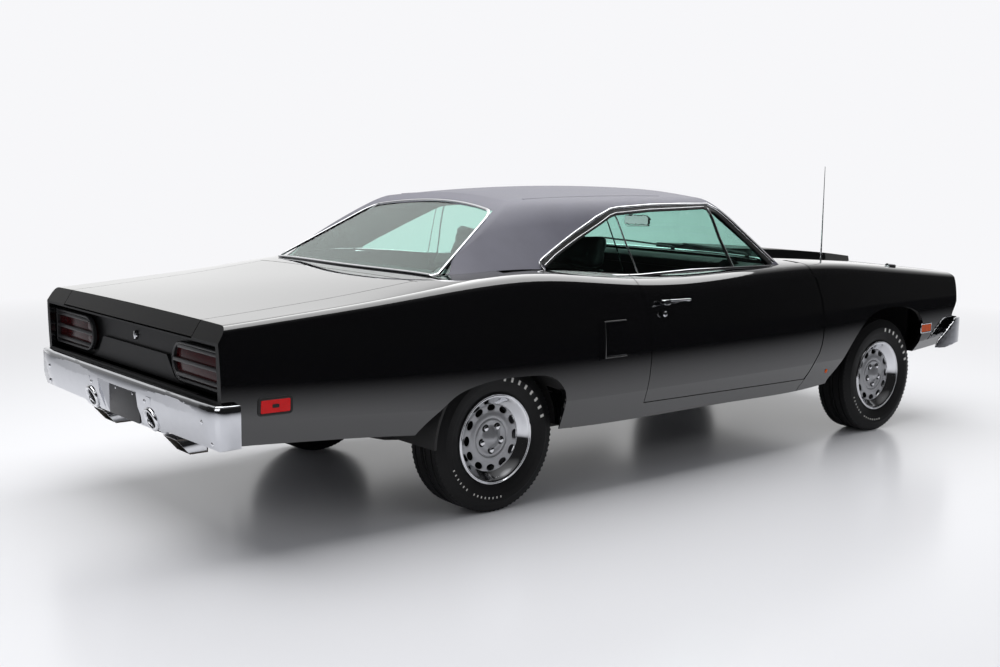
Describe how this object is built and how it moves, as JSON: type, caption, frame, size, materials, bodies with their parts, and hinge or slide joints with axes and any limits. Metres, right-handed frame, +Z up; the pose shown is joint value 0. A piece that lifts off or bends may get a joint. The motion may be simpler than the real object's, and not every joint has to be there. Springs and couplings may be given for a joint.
{
  "type": "muscle car",
  "caption": "Two-door hardtop car with opening doors, hood and trunk lid, rolling wheels and steering",
  "frame": {"origin": "on the ground under the middle of the car", "axes": "+X forward to the nose, +Y to the car's left, +Z up"},
  "size_m": [5.1984, 1.9266, 1.568],
  "materials": {
    "black_paint": "gloss",
    "under_paint": "satin",
    "vinyl": "grained",
    "tail_paint": "satin",
    "tinted_glass": "clear",
    "lamp_glass": "clear",
    "front_lamp_glass": "clear",
    "bright_metal": "mirror",
    "grille_plastic": "satin",
    "engine_metal": "matt",
    "frame_metal": "matt",
    "pipe_metal": "dull",
    "trim_black": "matt",
    "seat_vinyl": "satin",
    "wheel_paint": "satin",
    "tyre_rubber": "matt"
  },
  "bodies": {
    "car_body": {"body_side_right": "black_paint", "body_side_left": "black_paint", "front_fender_right": "black_paint", "front_fender_left": "black_paint", "cowl": "black_paint", "rear_deck": "black_paint", "floor_pan": "under_paint", "roof": "vinyl", "windshield": "tinted_glass", "rear_window": "tinted_glass", "quarter_glass": "tinted_glass", "tail_panel": "tail_paint", "rear_lamps": "lamp_glass", "rear_bumper": "bright_metal", "front_panel": "black_paint", "grille": "grille_plastic", "front_lamps": "front_lamp_glass", "front_bumper": "bright_metal", "engine_bay": "under_paint", "engine": "engine_metal", "driveline": "frame_metal", "fuel_tank": "pipe_metal", "rear_axle": "frame_metal", "exhaust": "pipe_metal", "dashboard": "trim_black", "front_seats": "seat_vinyl", "rear_seat": "seat_vinyl", "antenna": "bright_metal", "front_suspension": "frame_metal"},
    "right_door": {"door_right": "black_paint", "door_glass_right": "tinted_glass"},
    "left_door": {"door_left": "black_paint", "door_glass_left": "tinted_glass"},
    "hood": {"hood": "black_paint"},
    "trunk_lid": {"trunk_lid": "black_paint"},
    "steering_wheel": {"steering_wheel": "trim_black"},
    "right_knuckle": {"knuckle_right": "frame_metal"},
    "left_knuckle": {"knuckle_left": "frame_metal"},
    "front_right_wheel": {"front_rim_right": "wheel_paint", "front_tyre_right": "tyre_rubber"},
    "front_left_wheel": {"front_rim_left": "wheel_paint", "front_tyre_left": "tyre_rubber"},
    "rear_right_wheel": {"rear_rim_right": "wheel_paint", "rear_tyre_right": "tyre_rubber"},
    "rear_left_wheel": {"rear_rim_left": "wheel_paint", "rear_tyre_left": "tyre_rubber"}
  },
  "joints": [
    {"name": "right_door_hinge", "type": "hinge", "parent": "car_body", "child": "right_door", "pos_m": [1.0045, -0.94, 0.7], "axis": [0, 0, 1], "range_deg": [0, 65]},
    {"name": "left_door_hinge", "type": "hinge", "parent": "car_body", "child": "left_door", "pos_m": [1.0045, 0.94, 0.7], "axis": [0, 0, -1], "range_deg": [0, 65]},
    {"name": "hood_hinge", "type": "hinge", "parent": "car_body", "child": "hood", "pos_m": [0.8645, 0, 1.006], "axis": [0, -1, 0], "range_deg": [0, 50]},
    {"name": "trunk_lid_hinge", "type": "hinge", "parent": "car_body", "child": "trunk_lid", "pos_m": [-1.4175, 0, 1.006], "axis": [0, 1, 0], "range_deg": [0, 60]},
    {"name": "right_steer", "type": "hinge", "parent": "car_body", "child": "right_knuckle", "pos_m": [1.7605, -0.69, 0.336], "axis": [0, 0, 1], "range_deg": [-33, 33]},
    {"name": "left_steer", "type": "hinge", "parent": "car_body", "child": "left_knuckle", "pos_m": [1.7605, 0.69, 0.336], "axis": [0, 0, 1], "range_deg": [-33, 33]},
    {"name": "steering_wheel_turn", "type": "hinge", "parent": "car_body", "child": "steering_wheel", "pos_m": [0.3345, 0.36, 0.96], "axis": [-0.9202, 0, 0.3916], "range_deg": [-528, 528]},
    {"name": "front_right_roll", "type": "hinge", "parent": "right_knuckle", "child": "front_right_wheel", "pos_m": [1.7605, -0.758, 0.336], "axis": [0, 1, 0], "continuous": true},
    {"name": "front_left_roll", "type": "hinge", "parent": "left_knuckle", "child": "front_left_wheel", "pos_m": [1.7605, 0.758, 0.336], "axis": [0, 1, 0], "continuous": true},
    {"name": "rear_right_roll", "type": "hinge", "parent": "car_body", "child": "rear_right_wheel", "pos_m": [-1.1855, -0.752, 0.336], "axis": [0, 1, 0], "continuous": true},
    {"name": "rear_left_roll", "type": "hinge", "parent": "car_body", "child": "rear_left_wheel", "pos_m": [-1.1855, 0.752, 0.336], "axis": [0, 1, 0], "continuous": true}
  ],
  "couplings": [
    {"joint": "left_steer", "follows": "right_steer", "ratio": 1},
    {"joint": "steering_wheel_turn", "follows": "right_steer", "ratio": 16}
  ]
}
